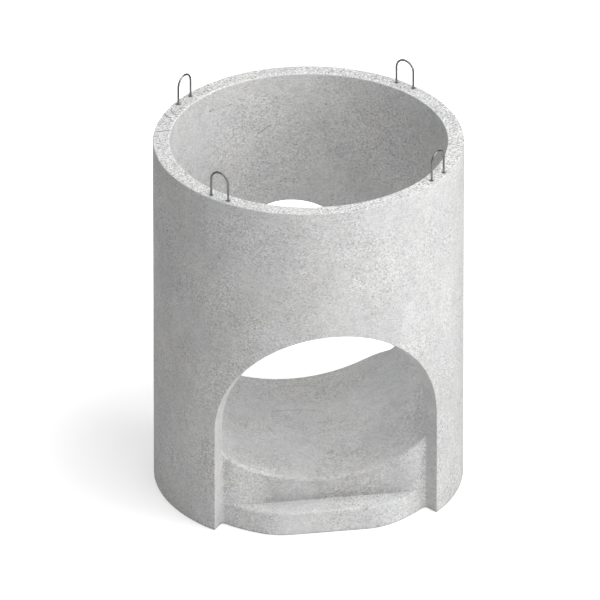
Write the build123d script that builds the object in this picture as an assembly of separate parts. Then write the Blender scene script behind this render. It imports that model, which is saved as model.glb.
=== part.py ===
from build123d import *
from math import asin, cos, pi, sin
import os

os.makedirs("parts", exist_ok=True)

# Precast concrete manhole chamber. One casting forms the round wall, the two
# arched pipe openings and the floor with its through channel. Four steel
# lifting loops are cast into the rim.
# Frame: Z is up, the origin is the centre of the underside, and the pipe run
# lies along Y with the front opening towards -Y. All sizes in millimetres.

# Round wall
bore_diameter = 1500
wall_thickness = 90
body_height = 2040
rim_chamfer = 4

# Pipe openings, alike at the front and the rear
opening_width = 1216          # between the outer arrises of the jambs
inner_width = 1112            # between their inner arrises, on the bore
springing_height = 600        # top of the straight jambs, on the outside
arch_rise = 683               # from the springing to the crown
arch_drop = 20                # inner edge of the arch, below its outer edge
arch_points = 7               # points that carry each half of the arch's curve

# Floor casting
channel_radius = 960          # hollow of the channel, across the pipe run
invert_height = 264           # lowest line of the channel
stop_corner_radius = 220      # plan rounding at the ends of each pipe stop
crease_rounding = 20          # between the channel and the pipe stop
seat_height = 136             # ledge that carries a pipe's end
seat_length = 133             # ledge depth in front of the pipe stop
seat_setback = 52             # flat front of the ledge, back from the bore's circle
seat_corner_radius = 320      # plan rounding at the ends of that flat
seat_edge_rounding = 14
jamb_fillet = 18              # hollow corner between the floor and each jamb

# Lifting loops, set by hand in the mould: place of each as degrees from the
# front opening, and the turn of its plane
bar_diameter = 12
loop_spacing = 112            # between the centre lines of the two legs
loop_height = 153             # crown's centre line above the rim
loop_setback = 33             # centre of the loop, in from the outer edge of the rim
leg_embedment = 300           # length of each leg inside the wall
loop_places = {
    "front_left": (-45.5, -45),
    "front_right": (50, 45),
    "rear_left": (-133, 45),
    "rear_right": (130.5, -45),
}

cut_margin = 10               # how far a cutting shape runs past what it cuts

bore_radius = bore_diameter / 2
outer_radius = bore_radius + wall_thickness
mid_wall_radius = bore_radius + wall_thickness / 2
outer_half_angle = asin(opening_width / 2 / outer_radius)
inner_half_angle = asin(inner_width / 2 / bore_radius)
outer_jamb_depth = outer_radius * cos(outer_half_angle)
inner_jamb_depth = bore_radius * cos(inner_half_angle)
jamb_splay = (opening_width - inner_width) / 2 / (outer_jamb_depth - inner_jamb_depth)
splay_origin = inner_width / 2 / jamb_splay - inner_jamb_depth
seat_front = bore_radius - seat_setback
pipe_stop = seat_front - seat_length
channel_axis_height = invert_height + channel_radius


def wall_ring():
    """Plain wall, revolved from its section, with both edges of the rim broken."""
    section = Pos(mid_wall_radius, body_height / 2) * Rectangle(wall_thickness, body_height)
    section = chamfer(section.vertices().group_by(Axis.Y)[-1], rim_chamfer)
    return revolve(Plane.XZ * section, axis=Axis.Z)


def opening_wedge(reach):
    """Plan triangle between the two splayed jambs, widening towards the front."""
    side = (reach + splay_origin) * jamb_splay
    return Polygon((0, splay_origin), (-side, -reach), (side, -reach), align=None)


def opening_face(distance):
    """Outline of the opening on the upright plane at this distance from the shaft's axis.

    Each point lies on the straight line through one point of the outer edge
    of the wall and the matching one of the inner edge."""
    points = []
    for step in range(arch_points):
        turn = pi / 2 * step / (arch_points - 1)
        outer_bearing = asin(sin(outer_half_angle) * cos(turn))
        inner_bearing = asin(sin(inner_half_angle) * cos(turn))
        outer_depth = outer_radius * cos(outer_bearing)
        inner_depth = bore_radius * cos(inner_bearing)
        share = (distance - inner_depth) / (outer_depth - inner_depth)
        across = (1 - share) * bore_radius * sin(inner_bearing) + share * outer_radius * sin(outer_bearing)
        height = springing_height + arch_rise * sin(turn) - (1 - share) * arch_drop
        points.append((across, height))
    springing = points[0]
    sill_end = (springing[0], -cut_margin)
    right_jamb = Line(sill_end, springing)
    right_curve = Spline(*points, tangents=[(0, 1), (-1, 0)], tangent_scalars=(1, 1))
    left_curve = mirror(right_curve, Plane.YZ)
    left_jamb = mirror(right_jamb, Plane.YZ)
    sill = Line(left_jamb @ 0, sill_end)
    return Plane.XZ.offset(distance) * make_face([sill, right_jamb, right_curve, left_curve, left_jamb])


def pipe_opening():
    """Cutting shape of the front opening: splayed jambs and the arch on top."""
    inner_reach = inner_jamb_depth - cut_margin
    outer_reach = outer_radius + cut_margin
    return loft([opening_face(inner_reach), opening_face(outer_reach)], ruled=True)


def meets_a_jamb(vertex):
    """True where the floor's outline turns into a jamb, short of its root in the wall."""
    off_the_jamb = abs(abs(vertex.X) - (abs(vertex.Y) + splay_origin) * jamb_splay)
    reach = Vector(vertex.X, vertex.Y).length
    return off_the_jamb < 0.01 and reach < mid_wall_radius - 1


def floor_plan(front, corner_radius):
    """Outline of the floor up to this distance along the pipe run.

    It is a round plug with flattened ends. At its sides it roots in the wall,
    with a hollow fillet in the corner to each jamb."""
    plug = Circle(bore_radius) & Rectangle(2 * outer_radius, 2 * front)
    plug = fillet(plug.vertices(), corner_radius)
    roots = Circle(mid_wall_radius)
    for bearing in (0, 180):
        roots -= Rot(0, 0, bearing) * opening_wedge(outer_radius)
    plan = plug + roots
    return fillet(plan.vertices().filter_by(meets_a_jamb), jamb_fillet)


def exposed(edges):
    """Edges that lie in an opening, without those buried in the wall."""
    return edges.filter_by(lambda e: Vector(e.center().X, e.center().Y).length < mid_wall_radius - 1)


def channel_block():
    """Raised floor with the channel along its top and a pipe stop at each end."""
    block = extrude(floor_plan(pipe_stop, stop_corner_radius), channel_axis_height)
    block -= Pos(0, 0, channel_axis_height) * Rot(90, 0, 0) * Cylinder(channel_radius, 2 * outer_radius)
    channel = block.faces().filter_by(lambda f: f.center().Z > seat_height).sort_by(SortBy.AREA)[-1]
    return fillet(exposed(channel.edges()), crease_rounding)


def seat_slab():
    """Base of the floor, whose two ends are the ledges that carry the pipes."""
    slab = extrude(floor_plan(seat_front, seat_corner_radius), seat_height)
    top = slab.faces().sort_by(Axis.Z)[-1]
    return fillet(exposed(top.edges()), seat_edge_rounding)


def lifting_loop(bearing, turn):
    """Bent bar that stands on the rim, with both legs deep in the wall."""
    half = loop_spacing / 2
    bend_start = loop_height - half
    right_leg = Line((half, -leg_embedment), (half, bend_start))
    crown = ThreePointArc((half, bend_start), (0, loop_height), (-half, bend_start))
    left_leg = Line((-half, bend_start), (-half, -leg_embedment))
    path = Plane.XZ * Wire([right_leg.edge(), crown.edge(), left_leg.edge()])
    bar = sweep(Plane(path @ 0, z_dir=path % 0) * Circle(bar_diameter / 2), path)
    place = Rot(0, 0, bearing) * Pos(0, loop_setback - outer_radius, body_height)
    return Pos(*place.position) * Rot(0, 0, turn) * bar


loops = {place: lifting_loop(*angles) for place, angles in loop_places.items()}

concrete = wall_ring()
for side in (0, 180):
    concrete -= Rot(0, 0, side) * pipe_opening()
concrete += channel_block() + seat_slab()
for loop in loops.values():
    concrete -= loop

export_step(concrete, "parts/concrete_body.step")
for place, loop in loops.items():
    export_step(loop, f"parts/lifting_loop_{place}.step")
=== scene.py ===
import bpy
from math import cos, radians, sin
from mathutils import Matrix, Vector


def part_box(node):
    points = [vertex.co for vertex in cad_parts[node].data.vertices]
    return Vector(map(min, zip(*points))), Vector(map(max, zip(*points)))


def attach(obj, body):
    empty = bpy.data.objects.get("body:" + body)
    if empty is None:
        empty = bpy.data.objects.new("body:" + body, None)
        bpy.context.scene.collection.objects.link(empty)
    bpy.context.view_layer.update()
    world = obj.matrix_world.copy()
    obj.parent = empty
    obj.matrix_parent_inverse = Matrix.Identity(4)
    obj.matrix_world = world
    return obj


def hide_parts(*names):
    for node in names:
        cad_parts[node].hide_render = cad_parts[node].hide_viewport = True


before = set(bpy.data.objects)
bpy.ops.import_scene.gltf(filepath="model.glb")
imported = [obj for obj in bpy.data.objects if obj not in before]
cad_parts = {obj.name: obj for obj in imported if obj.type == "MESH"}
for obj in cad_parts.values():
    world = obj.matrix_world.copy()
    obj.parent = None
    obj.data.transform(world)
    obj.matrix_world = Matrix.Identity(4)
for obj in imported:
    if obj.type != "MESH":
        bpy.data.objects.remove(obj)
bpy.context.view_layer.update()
print("frame loaded:", ", ".join(sorted(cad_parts)))

castNode = "concrete_body"
loopNodes = sorted(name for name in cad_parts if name.startswith("lifting_loop"))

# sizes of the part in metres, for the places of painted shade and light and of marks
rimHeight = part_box(castNode)[1][2]
boreRadius = 0.75
ledgeHeight = 0.136
stopFace = 0.565            # distance of the pipe stops from the shaft's axis
jambSplay = 0.6815          # half width of an opening gained for each metre outwards
splayOrigin = 0.3125        # distance beyond the axis where the two jambs of an opening would meet
legReach = 0.056            # half the distance between the legs of a loop


# Bearings are degrees from the front opening towards +X

def pointOnCircle(bearing, radius, height):
    return (radius * sin(radians(bearing)), -radius * cos(radians(bearing)), height)


# Node helpers, so that a material reads as a list of steps

def setSocket(tree, socket, value):
    if isinstance(value, bpy.types.NodeSocket):
        tree.links.new(value, socket)
    else:
        socket.default_value = value


def addNode(tree, kind, settings=None, inputs=None):
    node = tree.nodes.new(kind)
    for name, value in (settings or {}).items():
        setattr(node, name, value)
    for name, value in (inputs or {}).items():
        setSocket(tree, node.inputs[name], value)
    return node


def placeGroup(tree, group, inputs):
    return addNode(tree, "ShaderNodeGroup", {"node_tree": group}, inputs).outputs


def mathStep(tree, operation, first, second=0.0, third=0.0):
    return addNode(tree, "ShaderNodeMath", {"operation": operation}, {0: first, 1: second, 2: third}).outputs[0]


def product(tree, first, *others):
    for other in others:
        first = mathStep(tree, "MULTIPLY", first, other)
    return first


def plusProduct(tree, base, *factors):
    return mathStep(tree, "ADD", base, product(tree, *factors))


def minusProduct(tree, base, *factors):
    return mathStep(tree, "SUBTRACT", base, product(tree, *factors))


def distance(tree, first, second):
    return mathStep(tree, "ABSOLUTE", mathStep(tree, "SUBTRACT", first, second))


def vectorStep(tree, operation, first, second=(0.0, 0.0, 0.0)):
    node = addNode(tree, "ShaderNodeVectorMath", {"operation": operation}, {0: first, 1: second})
    return node.outputs["Value" if operation in ("LENGTH", "DISTANCE", "DOT_PRODUCT") else "Vector"]


def scaled(tree, vector, amount):
    return addNode(tree, "ShaderNodeVectorMath", {"operation": "SCALE"},
                   {0: vector, "Scale": amount}).outputs["Vector"]


def stretched(tree, where, scale, offset=(0.0, 0.0, 0.0)):
    return addNode(tree, "ShaderNodeMapping", None, {"Vector": where, "Scale": scale, "Location": offset}).outputs[0]


def spread(tree, value, low, high, toLow=0.0, toHigh=1.0, curve="SMOOTHSTEP"):
    return addNode(tree, "ShaderNodeMapRange", {"interpolation_type": curve},
                   {"Value": value, "From Min": low, "From Max": high, "To Min": toLow, "To Max": toHigh}).outputs[0]


def fall(tree, value, low, high):
    return spread(tree, value, low, high, 1.0, 0.0)


def noiseField(tree, where, scale, detail=2.0, roughness=0.5):
    return addNode(tree, "ShaderNodeTexNoise", None,
                   {"Vector": where, "Scale": scale, "Detail": detail, "Roughness": roughness}).outputs[0]


def mixColour(tree, amount, first, second, blend="MIX"):
    return addNode(tree, "ShaderNodeMix", {"data_type": "RGBA", "blend_type": blend},
                   {0: amount, 6: first, 7: second}).outputs[2]


def seenByCamera(tree):
    path = tree.nodes.new("ShaderNodeLightPath").outputs
    return mathStep(tree, "MAXIMUM", path["Is Camera Ray"], path["Is Transmission Ray"])


def newGroup(name, inputs, outputs):
    group = bpy.data.node_groups.new(name, "ShaderNodeTree")
    for label, kind, value in inputs:
        socket = group.interface.new_socket(name=label, in_out="INPUT", socket_type=kind)
        if value is not None:
            socket.default_value = value
    for label, kind in outputs:
        group.interface.new_socket(name=label, in_out="OUTPUT", socket_type=kind)
    return group, group.nodes.new("NodeGroupInput").outputs, group.nodes.new("NodeGroupOutput").inputs


def newMaterial(name):
    material = bpy.data.materials.new(name)
    material.use_nodes = True
    tree = material.node_tree
    return material, tree, tree.nodes["Principled BSDF"], tree.nodes.new("ShaderNodeTexCoord").outputs["Object"]


# Sandy grain: single grains of random tone over softer noise, stronger in some patches than in others

speckleShape = {
    "skew": 0.5,                # power on the tone of a grain, below 1 so that dark grains are few
    "grainShare": 0.42,
    "softScale": 0.7,
    "middle": 0.78,             # taken off, so that the grain leaves the mean tone as it is
    "patchLevels": (0.38, 0.62),
}


def buildSpeckle():
    group, given, out = newGroup(
        "sandSpeckle",
        [("Vector", "NodeSocketVector", None), ("Scale", "NodeSocketFloat", 100.0),
         ("Patch Scale", "NodeSocketFloat", 3.0), ("Evenness", "NodeSocketFloat", 0.3)],
        [("Grain", "NodeSocketFloat")])
    shape = speckleShape
    cells = addNode(group, "ShaderNodeTexVoronoi", {"feature": "F1"},
                    {"Vector": given["Vector"], "Scale": given["Scale"], "Randomness": 1.0}).outputs["Color"]
    tones = addNode(group, "ShaderNodeSeparateColor", None, {"Color": cells}).outputs[0]
    soft = noiseField(group, given["Vector"], product(group, given["Scale"], shape["softScale"]), 3.0, 0.6)
    skewed = mathStep(group, "POWER", tones, shape["skew"])
    both = mathStep(group, "MULTIPLY_ADD", skewed, shape["grainShare"], soft)
    centred = mathStep(group, "SUBTRACT", both, shape["middle"])
    patch = spread(group, noiseField(group, given["Vector"], given["Patch Scale"], 3.0, 0.6), *shape["patchLevels"])
    strength = spread(group, patch, 0.0, 1.0, given["Evenness"], 1.0, "LINEAR")
    group.links.new(product(group, centred, strength), out["Grain"])
    return group


# Short lying dashes where fines have settled between the sand, kept to some patches

dashShape = {"levels": (0.33, 0.45), "patchLevels": (0.45, 0.62)}


def buildDashes():
    group, given, out = newGroup(
        "lyingDashes",
        [("Vector", "NodeSocketVector", None), ("Length", "NodeSocketFloat", 0.03),
         ("Height", "NodeSocketFloat", 0.007), ("Patch Scale", "NodeSocketFloat", 4.0)],
        [("Dash", "NodeSocketFloat")])
    across = mathStep(group, "DIVIDE", 1.0, given["Length"])
    upward = mathStep(group, "DIVIDE", 1.0, given["Height"])
    scale = addNode(group, "ShaderNodeCombineXYZ", None, {0: across, 1: across, 2: upward}).outputs[0]
    where = vectorStep(group, "MULTIPLY", given["Vector"], scale)
    dash = fall(group, noiseField(group, where, 1.0, 2.0, 0.55), *dashShape["levels"])
    patch = spread(group, noiseField(group, given["Vector"], given["Patch Scale"]), *dashShape["patchLevels"])
    group.links.new(product(group, dash, patch), out["Dash"])
    return group


# Hairlines: thin wandering lines along the middle level of a noise

hairShape = {"core": 0.2, "patchScale": 3.7, "patchLevels": (0.5, 0.62)}


def buildHairlines():
    group, given, out = newGroup(
        "hairlines",
        [("Vector", "NodeSocketVector", None), ("Scale", "NodeSocketFloat", 8.0),
         ("Width", "NodeSocketFloat", 0.01)],
        [("Line", "NodeSocketFloat")])
    level = noiseField(group, given["Vector"], given["Scale"], 4.0, 0.6)
    away = mathStep(group, "DIVIDE", distance(group, level, 0.5), given["Width"])
    line = fall(group, away, hairShape["core"], 1.0)
    patch = spread(group, noiseField(group, given["Vector"], hairShape["patchScale"], 1.0), *hairShape["patchLevels"])
    group.links.new(product(group, line, patch), out["Line"])
    return group


# Air holes: some cells of a cell pattern get a round hole of random size

pitShape = {"smallest": 0.35, "flatPart": 0.55}     # shares of the radius


def buildPits():
    group, given, out = newGroup(
        "airHoles",
        [("Vector", "NodeSocketVector", None), ("Scale", "NodeSocketFloat", 30.0),
         ("Share", "NodeSocketFloat", 0.2), ("Radius", "NodeSocketFloat", 0.1)],
        [("Hole", "NodeSocketFloat")])
    cells = addNode(group, "ShaderNodeTexVoronoi", {"feature": "F1"},
                    {"Vector": given["Vector"], "Scale": given["Scale"], "Randomness": 1.0}).outputs
    chance, luck = addNode(group, "ShaderNodeSeparateColor", None, {"Color": cells["Color"]}).outputs[:2]
    chosen = mathStep(group, "LESS_THAN", chance, given["Share"])
    size = product(group, given["Radius"], spread(group, luck, 0.0, 1.0, pitShape["smallest"], 1.0, "LINEAR"))
    hole = fall(group, cells["Distance"], product(group, size, pitShape["flatPart"]), size)
    group.links.new(product(group, hole, chosen), out["Hole"])
    return group


# One ragged mark along a straight line between two points

markShape = {"wobbleScale": 40.0, "breakScale": 90.0, "breakLevels": (0.28, 0.45)}


def buildScratch():
    group, given, out = newGroup(
        "handlingMark",
        [("Vector", "NodeSocketVector", None), ("From", "NodeSocketVector", None), ("To", "NodeSocketVector", None),
         ("Width", "NodeSocketFloat", 0.004), ("Wander", "NodeSocketFloat", 0.006)],
        [("Mark", "NodeSocketFloat")])
    wobble = addNode(group, "ShaderNodeTexNoise", None,
                     {"Vector": given["Vector"], "Scale": markShape["wobbleScale"], "Detail": 3.0}).outputs["Color"]
    shift = scaled(group, vectorStep(group, "SUBTRACT", wobble, (0.5, 0.5, 0.5)), given["Wander"])
    where = vectorStep(group, "ADD", given["Vector"], shift)
    line = vectorStep(group, "SUBTRACT", given["To"], given["From"])
    offset = vectorStep(group, "SUBTRACT", where, given["From"])
    share = mathStep(group, "DIVIDE", vectorStep(group, "DOT_PRODUCT", offset, line),
                     vectorStep(group, "DOT_PRODUCT", line, line))
    share = addNode(group, "ShaderNodeClamp", None, {"Value": share}).outputs[0]
    away = vectorStep(group, "DISTANCE", offset, scaled(group, line, share))
    mark = fall(group, away, 0.0, given["Width"])
    broken = spread(group, noiseField(group, given["Vector"], markShape["breakScale"]), *markShape["breakLevels"])
    group.links.new(product(group, mark, broken), out["Mark"])
    return group


speckleGroup = buildSpeckle()
dashesGroup = buildDashes()
hairlinesGroup = buildHairlines()
pitsGroup = buildPits()
scratchGroup = buildScratch()


# Concrete of the casting

concreteLook = {
    "paste": (0.680, 0.679, 0.677, 1.0),
    "warmPatch": (0.687, 0.682, 0.669, 1.0),
    "warmScale": 2.6,
    "warmLevels": (0.45, 0.68),
    "coolPatch": (0.668, 0.671, 0.678, 1.0),
    "coolScale": 2.1,
    "coolLevels": (0.48, 0.7),
    "roughness": 0.86,
    "grainRoughness": 0.1,
    "specular": 0.25,
    "bumpStrength": 0.6,
    "bumpDepth": 0.0012,
    "bumpGrain": 0.5,
    "bumpHoles": 1.5,
    "bumpCloud": 0.6,

    # grain, clouds and fine lines
    "speckleScale": 140.0,
    "specklePatch": 3.2,
    "speckleEvenness": 0.5,
    "grainFlatness": 1.2,       # how much wider than tall the grains are on the walls
    "wallContrast": 1.2,
    "channelContrast": 0.72,    # share of it left on the smoothed channel floor
    "revealContrast": 0.45,     # and on the smooth reveals of the openings
    "stopContrast": 0.75,       # and on the upright faces of the floor casting
    "rimScale": 145.0,
    "rimPatch": 6.0,
    "rimEvenness": 0.8,
    "rimContrast": 2.05,
    "cloudScale": 5.5,
    "cloudContrast": 0.30,
    "mottleScale": 20.0,
    "mottleContrast": 0.26,
    "dashLength": 0.028,
    "dashHeight": 0.008,
    "dashPatch": 4.3,
    "dashDepth": 0.16,
    "hairScale": 7.5,
    "hairWidth": 0.012,
    "hairDepth": 0.10,
    "seams": [16.1, 44.0, -51.0, 101.0, 133.6, -148.0],   # bearings of faint mould joints
    "seamDepth": 0.04,

    # air holes, marks and cracks
    "holeColour": (0.16, 0.155, 0.15, 1.0),
    "holeDepth": 0.62,
    "smallHoles": {"Scale": 25.0, "Share": 0.5, "Radius": 0.15},
    "largeHoles": {"Scale": 9.0, "Share": 0.25, "Radius": 0.055},
    "markWander": 0.014,
    "crackWidth": 0.007,
    "crackWander": 0.030,
    "crackDepth": 0.8,          # share of the depth of a hole
    "ringDepth": 0.85,          # dark ring where a leg of a loop leaves the rim

    # painted shade, and darkening of the channel floor, as shares of the brightness taken off
    "channelDarkFront": 0.11,          # channel floor, darker towards its front end
    "channelDarkRear": 0.01,
    "stopShadeTop": 0.17,            # painted shade on the pipe stops
    "stopShadeFoot": 0.14,           # and how much more painted shade at their foot, against the ledge
    "stopShadeCentre": 0.06,         # X of the middle of that painted shade
    "revealShade": 0.13,         # painted shade on the right reveal of the front opening
    "cornerShade": 0.12,         # painted shade in the hollow corners between the floor and the jambs
    "groundShadow": 0.17,         # painted contact shadow where the casting stands on the ground

    # painted light and highlights, as shares of the brightness added
    "soffitLight": 0.03,         # painted light on the underside of the arches
    "crestHighlight": 0.14,          # painted highlight on the left end of the crest between channel and stop
    "besideCrestHighlight": 0.45,        # share of that on the channel floor next to it
    "rimEdgeHighlight": 0.10,           # painted highlight along the inner edge of the rim
}

# where each mask begins and ends, in metres, or as parts of the unit normal where the name ends in Facing
maskEdges = {
    "rim": (rimHeight - 0.006, rimHeight - 0.002),
    "rimFacing": (0.5, 0.9),
    "channel": (0.15, 0.26),    # of height times the upward part of the normal
    "reveal": (boreRadius - 0.006, boreRadius),
    "revealOutFacing": (0.35, 0.6),
    "revealUpFacing": (0.2, 0.4),
    "stop": (boreRadius - 0.012, boreRadius - 0.006),
    "stopFacing": (0.3, 0.7),
    "seam": (0.001, 0.006),     # in radians
    "floorTop": (0.42, 0.45),
    "stopShadeMask": (0.018, 0.030),
    "stopShadeFacing": (0.35, 0.85),
    "stopShadeSide": (0.34, 0.52),
    "stopShadeBottom": (ledgeHeight - 0.004, ledgeHeight),
    "footShadeSide": (0.26, 0.44),
    "footShadeTop": (ledgeHeight, ledgeHeight + 0.07),
    "channelRun": (-0.45, 0.5),
    "rightHalf": (-0.02, 0.02),
    "frontHalf": (-0.1, 0.0),
    "corner": (0.006, 0.030),
    "cornerReach": (boreRadius - 0.010, boreRadius - 0.002),
    "cornerRun": (0.47, 0.51),
    "soffitFacing": (-0.4, -0.03),
    "crest": (0.25, 0.28),
    "crestLowFacing": (0.2, 0.5),
    "crestHighFacing": (0.80, 0.92),
    "crestSide": (-0.34, -0.20),
    "besideCrestHighlight": (0.03, 0.10),
    "ground": (0.003, 0.016),
    "edge": (boreRadius + 0.006, boreRadius + 0.010),
    "edgeTop": (rimHeight - 0.008, rimHeight - 0.005),
    "ring": (0.007, 0.020),
}

# hairline cracks in the channel floor, each with its two ends in metres
crackList = [
    ((-0.169, 0.177, 0.279), (-0.072, 0.200, 0.267)),
    ((-0.072, 0.200, 0.267), (0.021, 0.195, 0.264)),
    ((0.021, 0.195, 0.264), (0.102, 0.150, 0.269)),
]

# handling marks, each as bearing, radius and height at its two ends and its width, in degrees and metres
markList = [
    ((-105.3, 0.833, rimHeight), (-107.3, 0.760, rimHeight), 0.010),
    ((-120.2, 0.838, rimHeight), (-115.1, 0.763, rimHeight), 0.010),
    ((-123.3, 0.816, rimHeight), (-119.1, 0.752, rimHeight), 0.010),
    ((-168.0, 0.750, 1.700), (-173.2, 0.750, 1.737), 0.009),
    ((-143.6, 0.750, 1.929), (-155.5, 0.750, 1.918), 0.006),
]

# directions of the loops' planes in plan, as degrees from X
loopTurns = {"front_left": -45.0, "front_right": 45.0, "rear_left": 45.0, "rear_right": -45.0}


# Where a point lies on the casting and which way it faces

def readPlace(tree, where):
    position = addNode(tree, "ShaderNodeSeparateXYZ", None, {"Vector": where}).outputs
    normal = tree.nodes.new("ShaderNodeNewGeometry").outputs["Normal"]
    facing = addNode(tree, "ShaderNodeSeparateXYZ", None, {"Vector": normal}).outputs
    flat = stretched(tree, where, (1.0, 1.0, 0.0))
    outward = vectorStep(tree, "DOT_PRODUCT", vectorStep(tree, "NORMALIZE", flat), normal)
    along = mathStep(tree, "ABSOLUTE", position["Y"])
    return {
        "where": where,
        "x": position["X"],
        "y": position["Y"],
        "z": position["Z"],
        "aside": mathStep(tree, "ABSOLUTE", position["X"]),
        "along": along,
        "reach": vectorStep(tree, "LENGTH", flat),
        "fromStop": distance(tree, along, stopFace),
        "facingUp": facing["Z"],
        "facingAlong": mathStep(tree, "ABSOLUTE", facing["Y"]),
        "facingOut": mathStep(tree, "ABSOLUTE", outward),
    }


# Masks of the surfaces that differ in finish

def findZones(tree, place):
    edges = maskEdges
    rim = product(tree, spread(tree, place["z"], *edges["rim"]), spread(tree, place["facingUp"], *edges["rimFacing"]))
    offRim = mathStep(tree, "SUBTRACT", 1.0, rim)
    lying = spread(tree, product(tree, place["z"], place["facingUp"]), *edges["channel"])
    reveal = product(tree, fall(tree, place["facingOut"], *edges["revealOutFacing"]),
                     fall(tree, place["facingUp"], *edges["revealUpFacing"]),
                     spread(tree, place["reach"], *edges["reveal"]))
    stop = product(tree, fall(tree, place["facingUp"], *edges["stopFacing"]),
                   fall(tree, place["reach"], *edges["stop"]))
    return {"rim": rim, "offRim": offRim, "channel": product(tree, lying, offRim), "reveal": reveal, "stop": stop}


# Paste with large soft patches of warmer and cooler tone

def makePaste(tree, where):
    look = concreteLook
    warm = spread(tree, noiseField(tree, where, look["warmScale"], 3.0, 0.55), *look["warmLevels"])
    shifted = stretched(tree, where, (1.0, 1.0, 1.0), (7.0, 3.0, 5.0))
    cool = spread(tree, noiseField(tree, shifted, look["coolScale"], 3.0, 0.5), *look["coolLevels"])
    colour = mixColour(tree, warm, look["paste"], look["warmPatch"])
    return mixColour(tree, cool, colour, look["coolPatch"])


# Grain, strongest on the trowelled rim and weaker on what was smoothed than on the walls

def makeGrainTone(tree, place, zones, grain):
    look = concreteLook
    rimGrain = placeGroup(tree, speckleGroup, {"Vector": place["where"], "Scale": look["rimScale"],
                                               "Patch Scale": look["rimPatch"],
                                               "Evenness": look["rimEvenness"]})["Grain"]
    contrast = spread(tree, zones["channel"], 0.0, 1.0, look["wallContrast"],
                      look["wallContrast"] * look["channelContrast"], "LINEAR")
    for zone in ("reveal", "stop"):
        contrast = product(tree, contrast, spread(tree, zones[zone], 0.0, 1.0, 1.0, look[zone + "Contrast"], "LINEAR"))
    return plusProduct(tree, product(tree, grain, contrast, zones["offRim"]),
                       rimGrain, look["rimContrast"], zones["rim"])


# Clouds, mottling, lying dashes and hairlines

def addMottling(tree, where, tone, cloud):
    look = concreteLook
    squat = stretched(tree, where, (1.0, 1.0, 1.35), (5.2, 1.4, 6.3))
    mottle = noiseField(tree, squat, look["mottleScale"], 3.0, 0.6)
    for field, amount in ((cloud, look["cloudContrast"]), (mottle, look["mottleContrast"])):
        tone = plusProduct(tree, tone, mathStep(tree, "SUBTRACT", field, 0.5), amount)
    dash = placeGroup(tree, dashesGroup, {"Vector": where, "Length": look["dashLength"],
                                          "Height": look["dashHeight"], "Patch Scale": look["dashPatch"]})["Dash"]
    hair = placeGroup(tree, hairlinesGroup, {"Vector": where, "Scale": look["hairScale"],
                                             "Width": look["hairWidth"]})["Line"]
    tone = minusProduct(tree, tone, dash, look["dashDepth"])
    return minusProduct(tree, tone, hair, look["hairDepth"])


# Mould joints, upright lines at set bearings

def addSeams(tree, place, tone):
    bearing = mathStep(tree, "ARCTAN2", place["x"], product(tree, place["y"], -1.0))
    for joint in concreteLook["seams"]:
        line = fall(tree, distance(tree, bearing, radians(joint)), *maskEdges["seam"])
        tone = minusProduct(tree, tone, line, concreteLook["seamDepth"])
    return tone


# Painted shade on the pipe stops, darkest at the ledge, and on the right reveal of the front opening; the channel floor
# darker towards its front end; and painted shade in the hollow corners beside the floor

def addShadeAndDarkening(tree, place, zones, tone):
    look, edges = concreteLook, maskEdges
    onFloor = fall(tree, place["z"], *edges["floorTop"])
    # painted shade on the pipe stops, deepest at their foot against the ledge
    stopShadeMask = product(tree, fall(tree, place["fromStop"], *edges["stopShadeMask"]),
                   spread(tree, place["facingAlong"], *edges["stopShadeFacing"]),
                   fall(tree, distance(tree, place["x"], look["stopShadeCentre"]), *edges["stopShadeSide"]),
                   spread(tree, place["z"], *edges["stopShadeBottom"]), onFloor)
    footShadeDepth = spread(tree, place["aside"], *edges["footShadeSide"], look["stopShadeFoot"], 0.0)
    depth = mathStep(tree, "MULTIPLY_ADD", footShadeDepth, fall(tree, place["z"], *edges["footShadeTop"]), look["stopShadeTop"])
    tone = minusProduct(tree, tone, stopShadeMask, depth)
    # channel floor darker towards its front end, hardly at all at the rear
    channelDarkening = spread(tree, place["y"], *edges["channelRun"], look["channelDarkFront"], look["channelDarkRear"], "LINEAR")
    tone = minusProduct(tree, tone, zones["channel"], channelDarkening)
    # painted shade on the right reveal of the front opening
    tone = minusProduct(tree, tone, zones["reveal"], spread(tree, place["x"], *edges["rightHalf"]),
                        fall(tree, place["y"], *edges["frontHalf"]), look["revealShade"])
    # painted shade in the hollow corners between the floor and the jambs
    halfWidth = product(tree, mathStep(tree, "ADD", place["along"], splayOrigin), jambSplay)
    return minusProduct(tree, tone, fall(tree, distance(tree, halfWidth, place["aside"]), *edges["corner"]), onFloor,
                        fall(tree, place["reach"], *edges["cornerReach"]),
                        spread(tree, place["along"], *edges["cornerRun"]), look["cornerShade"])


# Painted light on the underside of the arches, painted highlights on the left end of the crest and on the inner edge of
# the rim, and a painted contact shadow along the ground

def addEdgeLightAndShade(tree, place, zones, tone):
    look, edges = concreteLook, maskEdges
    # painted light on the downward-facing underside of the arches
    tone = mathStep(tree, "ADD", tone, spread(tree, place["facingUp"], *edges["soffitFacing"], look["soffitLight"], 0.0))
    # painted highlight on the left end of the crest and the channel floor next to it
    crest = product(tree, spread(tree, place["facingUp"], *edges["crestLowFacing"]),
                    fall(tree, place["facingUp"], *edges["crestHighFacing"]),
                    spread(tree, place["z"], *edges["crest"]))
    beside = product(tree, zones["channel"],
                     spread(tree, place["fromStop"], *edges["besideCrestHighlight"], look["besideCrestHighlight"], 0.0))
    tone = plusProduct(tree, tone, mathStep(tree, "MAXIMUM", crest, beside),
                       fall(tree, place["x"], *edges["crestSide"]), zones["offRim"], look["crestHighlight"])
    # painted contact shadow along the ground
    tone = mathStep(tree, "SUBTRACT", tone, spread(tree, place["z"], *edges["ground"], look["groundShadow"], 0.0))
    # painted highlight along the inner edge of the rim
    return plusProduct(tree, tone, fall(tree, place["reach"], *edges["edge"]),
                       spread(tree, place["z"], *edges["edgeTop"]), look["rimEdgeHighlight"])


# Air holes, handling marks and cracks as one field

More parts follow.
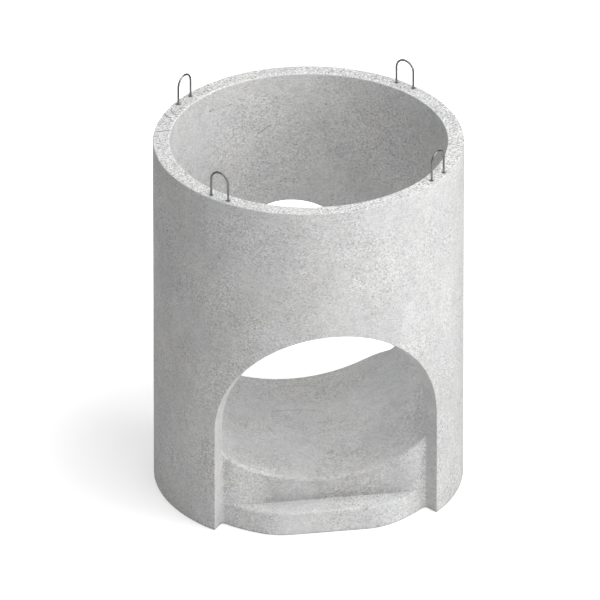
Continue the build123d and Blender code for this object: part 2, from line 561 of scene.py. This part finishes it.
def makeHoles(tree, where):
    look = concreteLook
    small = placeGroup(tree, pitsGroup, {"Vector": where, **look["smallHoles"]})["Hole"]
    large = placeGroup(tree, pitsGroup, {"Vector": where, **look["largeHoles"]})["Hole"]
    holes = mathStep(tree, "MAXIMUM", small, large)
    for start, end, width in markList:
        mark = placeGroup(tree, scratchGroup,
                          {"Vector": where, "From": pointOnCircle(*start), "To": pointOnCircle(*end),
                           "Width": width, "Wander": look["markWander"]})["Mark"]
        holes = mathStep(tree, "MAXIMUM", holes, mark)
    for start, end in crackList:
        crack = placeGroup(tree, scratchGroup, {"Vector": where, "From": start, "To": end,
                                                "Width": look["crackWidth"], "Wander": look["crackWander"]})["Mark"]
        holes = mathStep(tree, "MAXIMUM", holes, product(tree, crack, look["crackDepth"]))
    return holes


# Dark ring where each leg of a loop leaves the rim

def addLegRings(tree, where, colour):
    for place, turn in loopTurns.items():
        low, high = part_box("lifting_loop_" + place)
        middle = Vector(((low[0] + high[0]) / 2, (low[1] + high[1]) / 2, rimHeight))
        direction = Vector((cos(radians(turn)), sin(radians(turn)), 0.0))
        for side in (-1, 1):
            foot = middle + direction * side * legReach
            ring = fall(tree, vectorStep(tree, "DISTANCE", where, tuple(foot)), *maskEdges["ring"])
            colour = mixColour(tree, product(tree, ring, concreteLook["ringDepth"]), colour,
                               concreteLook["holeColour"])
    return colour


def makeConcrete():
    material, tree, shader, where = newMaterial("castConcrete")
    look = concreteLook
    place = readPlace(tree, where)
    zones = findZones(tree, place)

    lying = stretched(tree, where, (1.0, 1.0, look["grainFlatness"]))
    grain = placeGroup(tree, speckleGroup, {"Vector": lying, "Scale": look["speckleScale"],
                                            "Patch Scale": look["specklePatch"],
                                            "Evenness": look["speckleEvenness"]})["Grain"]
    tall = stretched(tree, where, (1.0, 1.0, 0.75), (3.1, 8.2, 1.7))
    cloud = noiseField(tree, tall, look["cloudScale"], 4.0, 0.6)
    tone = makeGrainTone(tree, place, zones, grain)
    tone = addMottling(tree, where, tone, cloud)
    tone = addSeams(tree, place, tone)
    tone = addShadeAndDarkening(tree, place, zones, tone)
    tone = addEdgeLightAndShade(tree, place, zones, tone)

    bright = mathStep(tree, "ADD", tone, 1.0)
    grey = addNode(tree, "ShaderNodeCombineColor", None, {0: bright, 1: bright, 2: bright}).outputs[0]
    colour = mixColour(tree, 1.0, makePaste(tree, where), grey, "MULTIPLY")
    holes = makeHoles(tree, where)
    colour = mixColour(tree, product(tree, holes, look["holeDepth"]), colour, look["holeColour"])
    colour = addLegRings(tree, where, colour)

    tree.links.new(colour, shader.inputs["Base Color"])
    shader.inputs["Specular IOR Level"].default_value = look["specular"]
    roughness = plusProduct(tree, look["roughness"], grain, look["grainRoughness"])
    tree.links.new(roughness, shader.inputs["Roughness"])
    relief = minusProduct(tree, product(tree, grain, look["bumpGrain"]), holes, look["bumpHoles"])
    relief = plusProduct(tree, relief, cloud, look["bumpCloud"])
    bump = addNode(tree, "ShaderNodeBump", None,
                   {"Strength": look["bumpStrength"], "Distance": look["bumpDepth"], "Height": relief})
    tree.links.new(bump.outputs[0], shader.inputs["Normal"])
    return material


# Bar of the loops

steelLook = {
    "bar": (0.22, 0.218, 0.215, 1.0),
    "worn": (0.33, 0.33, 0.33, 1.0),
    "wornScale": 40.0,
    "wornLevels": (0.40, 0.65),
    "rust": (0.12, 0.085, 0.065, 1.0),
    "rustScale": 60.0,
    "rustLevels": (0.6, 0.75),
    "rustDepth": 0.3,
    "metallic": 0.95,
    "roughness": 0.26,
    "grainRoughness": 0.25,
    "grainScale": 500.0,
    "grainPatch": 30.0,
    "grainEvenness": 0.6,
    "bumpStrength": 0.4,
    "bumpDepth": 0.0003,
}


def makeSteel():
    material, tree, shader, where = newMaterial("rolledBar")
    look = steelLook
    worn = spread(tree, noiseField(tree, where, look["wornScale"]), *look["wornLevels"])
    shifted = stretched(tree, where, (1.0, 1.0, 1.0), (2.0, 5.0, 3.0))
    rusty = spread(tree, noiseField(tree, shifted, look["rustScale"], 3.0, 0.6), *look["rustLevels"])
    colour = mixColour(tree, worn, look["bar"], look["worn"])
    colour = mixColour(tree, product(tree, rusty, look["rustDepth"]), colour, look["rust"])
    grain = placeGroup(tree, speckleGroup, {"Vector": where, "Scale": look["grainScale"],
                                            "Patch Scale": look["grainPatch"],
                                            "Evenness": look["grainEvenness"]})["Grain"]
    tree.links.new(colour, shader.inputs["Base Color"])
    shader.inputs["Metallic"].default_value = look["metallic"]
    roughness = plusProduct(tree, look["roughness"], grain, look["grainRoughness"])
    tree.links.new(roughness, shader.inputs["Roughness"])
    bump = addNode(tree, "ShaderNodeBump", None,
                   {"Strength": look["bumpStrength"], "Distance": look["bumpDepth"], "Height": grain})
    tree.links.new(bump.outputs[0], shader.inputs["Normal"])
    return material


concrete = makeConcrete()
steel = makeSteel()
print("materials ready")


def dress(nodeName, material):
    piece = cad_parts[nodeName]
    piece.data.materials.clear()
    piece.data.materials.append(material)


for name in loopNodes:
    dress(name, steel)
print("loops dressed")


# Casting with its arrises softened, as stripped from the mould

castLook = {
    "weld": 0.0015,          # short edges that the fillets leave behind are merged up to this length
    "flat": 0.4,             # degrees within which faces count as one flat face
    "sharp": 28.0,           # degrees from which an edge counts as an arris
    "arris": 0.003,
    "arrisSteps": 2,
    "arrisProfile": 0.5,
    "arrisWeld": 0.0001,
    "smooth": 35.0,
    "legDepth": 0.32,        # the sockets of the loops' legs lie between this depth and the rim
    "legCircle": 0.80,       # and within this distance of this circle
    "legBand": 0.037,
}


# True for the edges round the legs of the loops, which stay as cut

def atLoopLeg(point):
    fromCircle = abs(Vector((point.x, point.y)).length - castLook["legCircle"])
    return point.z > rimHeight - castLook["legDepth"] and fromCircle < castLook["legBand"]


def makeCasting():
    look = castLook
    casting = bpy.data.objects.new("castBody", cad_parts[castNode].data.copy())
    bpy.context.collection.objects.link(casting)
    bpy.ops.object.select_all(action="DESELECT")
    bpy.context.view_layer.objects.active = casting
    casting.select_set(True)
    bpy.ops.mesh.customdata_custom_splitnormals_clear()

    bpy.ops.object.mode_set(mode="EDIT")
    bpy.ops.mesh.select_mode(type="VERT")
    bpy.ops.mesh.select_all(action="SELECT")
    bpy.ops.mesh.remove_doubles(threshold=look["weld"])
    bpy.ops.mesh.select_all(action="SELECT")
    bpy.ops.mesh.dissolve_limited(angle_limit=radians(look["flat"]))
    bpy.ops.mesh.select_mode(type="EDGE")
    bpy.ops.mesh.select_all(action="DESELECT")
    bpy.ops.mesh.edges_select_sharp(sharpness=radians(look["sharp"]))

    bpy.ops.object.mode_set(mode="OBJECT")
    points = casting.data.vertices
    for edge in casting.data.edges:
        middle = (points[edge.vertices[0]].co + points[edge.vertices[1]].co) / 2
        edge.select = edge.select and not atLoopLeg(middle)
    for point in points:
        point.select = False
    for face in casting.data.polygons:
        face.select = False

    bpy.ops.object.mode_set(mode="EDIT")
    bpy.ops.mesh.bevel(offset_type="OFFSET", offset=look["arris"], segments=look["arrisSteps"],
                       profile=look["arrisProfile"], affect="EDGES", clamp_overlap=False)
    bpy.ops.mesh.select_all(action="SELECT")
    bpy.ops.mesh.remove_doubles(threshold=look["arrisWeld"])
    bpy.ops.object.mode_set(mode="OBJECT")
    bpy.ops.object.shade_smooth_by_angle(angle=radians(look["smooth"]))
    bpy.ops.object.modifier_add(type="WEIGHTED_NORMAL")
    casting.modifiers[-1].keep_sharp = True
    bpy.ops.object.modifier_apply(modifier=casting.modifiers[-1].name)

    casting.data.materials.clear()
    casting.data.materials.append(concrete)
    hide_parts(castNode)
    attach(casting, "root")


makeCasting()
print("casting ready")


# Floor

floorLook = {
    "size": 60.0,
    "colour": 0.80,
    "seenColour": 1.0,
    "lift": 0.36,            # glow that keeps the ground near white for the camera
    "farLift": 1.0,          # and what it grows to with the distance from the object
    "near": 1.0,
    "far": 3.0,
}


def makeFloor():
    look = floorLook
    bpy.ops.object.select_all(action="DESELECT")
    bpy.ops.mesh.primitive_plane_add(size=look["size"], location=(0, 0, 0))
    floor = bpy.context.object
    floor.name = "studioFloor"
    material = bpy.data.materials.new("paleFloor")
    material.use_nodes = True
    tree = material.node_tree
    tree.nodes.clear()
    seen = seenByCamera(tree)
    away = vectorStep(tree, "LENGTH", tree.nodes.new("ShaderNodeTexCoord").outputs["Object"])
    lift = spread(tree, away, look["near"], look["far"], look["lift"], look["farLift"])
    tone = spread(tree, seen, 0.0, 1.0, look["colour"], look["seenColour"], "LINEAR")
    colour = addNode(tree, "ShaderNodeCombineColor", None, {0: tone, 1: tone, 2: tone}).outputs[0]
    base = addNode(tree, "ShaderNodeBsdfDiffuse", None, {"Color": colour}).outputs[0]
    glow = addNode(tree, "ShaderNodeEmission", None,
                   {"Color": (1, 1, 1, 1), "Strength": product(tree, seen, lift)}).outputs[0]
    both = addNode(tree, "ShaderNodeAddShader", None, {0: base, 1: glow}).outputs[0]
    addNode(tree, "ShaderNodeOutputMaterial", None, {"Surface": both})
    floor.data.materials.append(material)


makeFloor()
print("floor ready")


# Studio: soft lamps, the strongest ones on the right and above, and a little even light

studioLook = {
    "ambient": 0.07,
    # degrees from the camera to the right, elevation, distance, size and power
    "lamps": {
        "keyLamp": (45.0, 35.0, 9.0, 9.0, 228.0),
        "sideLamp": (75.0, 35.0, 9.0, 9.0, 400.0),
        "skyLamp": (0.0, 89.9, 8.0, 9.0, 419.0),
        "lowLamp": (20.0, 4.0, 8.0, 6.0, 132.0),
        "leftLamp": (-50.0, 4.0, 8.0, 6.0, 46.0),
        "backLamp": (-138.0, 12.0, 9.0, 6.0, 108.0),
    },
}

photoView = {
    "azimuth": -9.25,
    "elevation": 29.0,
    "distance": 125.0,
    "lens": 1386.3,
    "sensor": 36.0,
    "clip": (10.0, 500.0),
    "aimAcross": -0.0463,
    "aimUp": 0.0289,
    "aimHeight": 1.02,
}


def viewDirection(azimuth, elevation):
    a, e = radians(azimuth), radians(elevation)
    return Vector((sin(a) * cos(e), -cos(a) * cos(e), sin(e)))


def makeStudio():
    world = bpy.data.worlds.new("studioWorld")
    bpy.context.scene.world = world
    world.use_nodes = True
    tree = world.node_tree
    strength = spread(tree, seenByCamera(tree), 0.0, 1.0, studioLook["ambient"], 1.0, "LINEAR")
    tree.nodes["Background"].inputs["Color"].default_value = (1, 1, 1, 1)
    tree.links.new(strength, tree.nodes["Background"].inputs["Strength"])

    aim = Vector((0, 0, photoView["aimHeight"]))
    for name, (bearing, elevation, away, size, power) in studioLook["lamps"].items():
        towards = viewDirection(photoView["azimuth"] + bearing, elevation)
        lamp = bpy.data.lights.new(name, "AREA")
        lamp.shape = "DISK"
        lamp.size = size
        lamp.energy = power
        holder = bpy.data.objects.new(name, lamp)
        bpy.context.collection.objects.link(holder)
        holder.location = aim + towards * away
        holder.rotation_euler = (-towards).to_track_quat("-Z", "Y").to_euler()


def makeCamera():
    back = viewDirection(photoView["azimuth"], photoView["elevation"])
    turn = (-back).to_track_quat("-Z", "Y")
    across = turn @ Vector((1, 0, 0))
    up = turn @ Vector((0, 1, 0))
    aim = Vector((0, 0, photoView["aimHeight"]))
    aim += across * photoView["aimAcross"] + up * photoView["aimUp"]
    lens = bpy.data.cameras.new("photoCamera")
    lens.lens = photoView["lens"]
    lens.sensor_width = photoView["sensor"]
    lens.clip_start, lens.clip_end = photoView["clip"]
    holder = bpy.data.objects.new("photoCamera", lens)
    bpy.context.collection.objects.link(holder)
    holder.location = aim + back * photoView["distance"]
    holder.rotation_euler = turn.to_euler()
    bpy.context.scene.camera = holder


makeStudio()
makeCamera()
bpy.context.scene.view_settings.view_transform = "Standard"
print("studio and camera set")
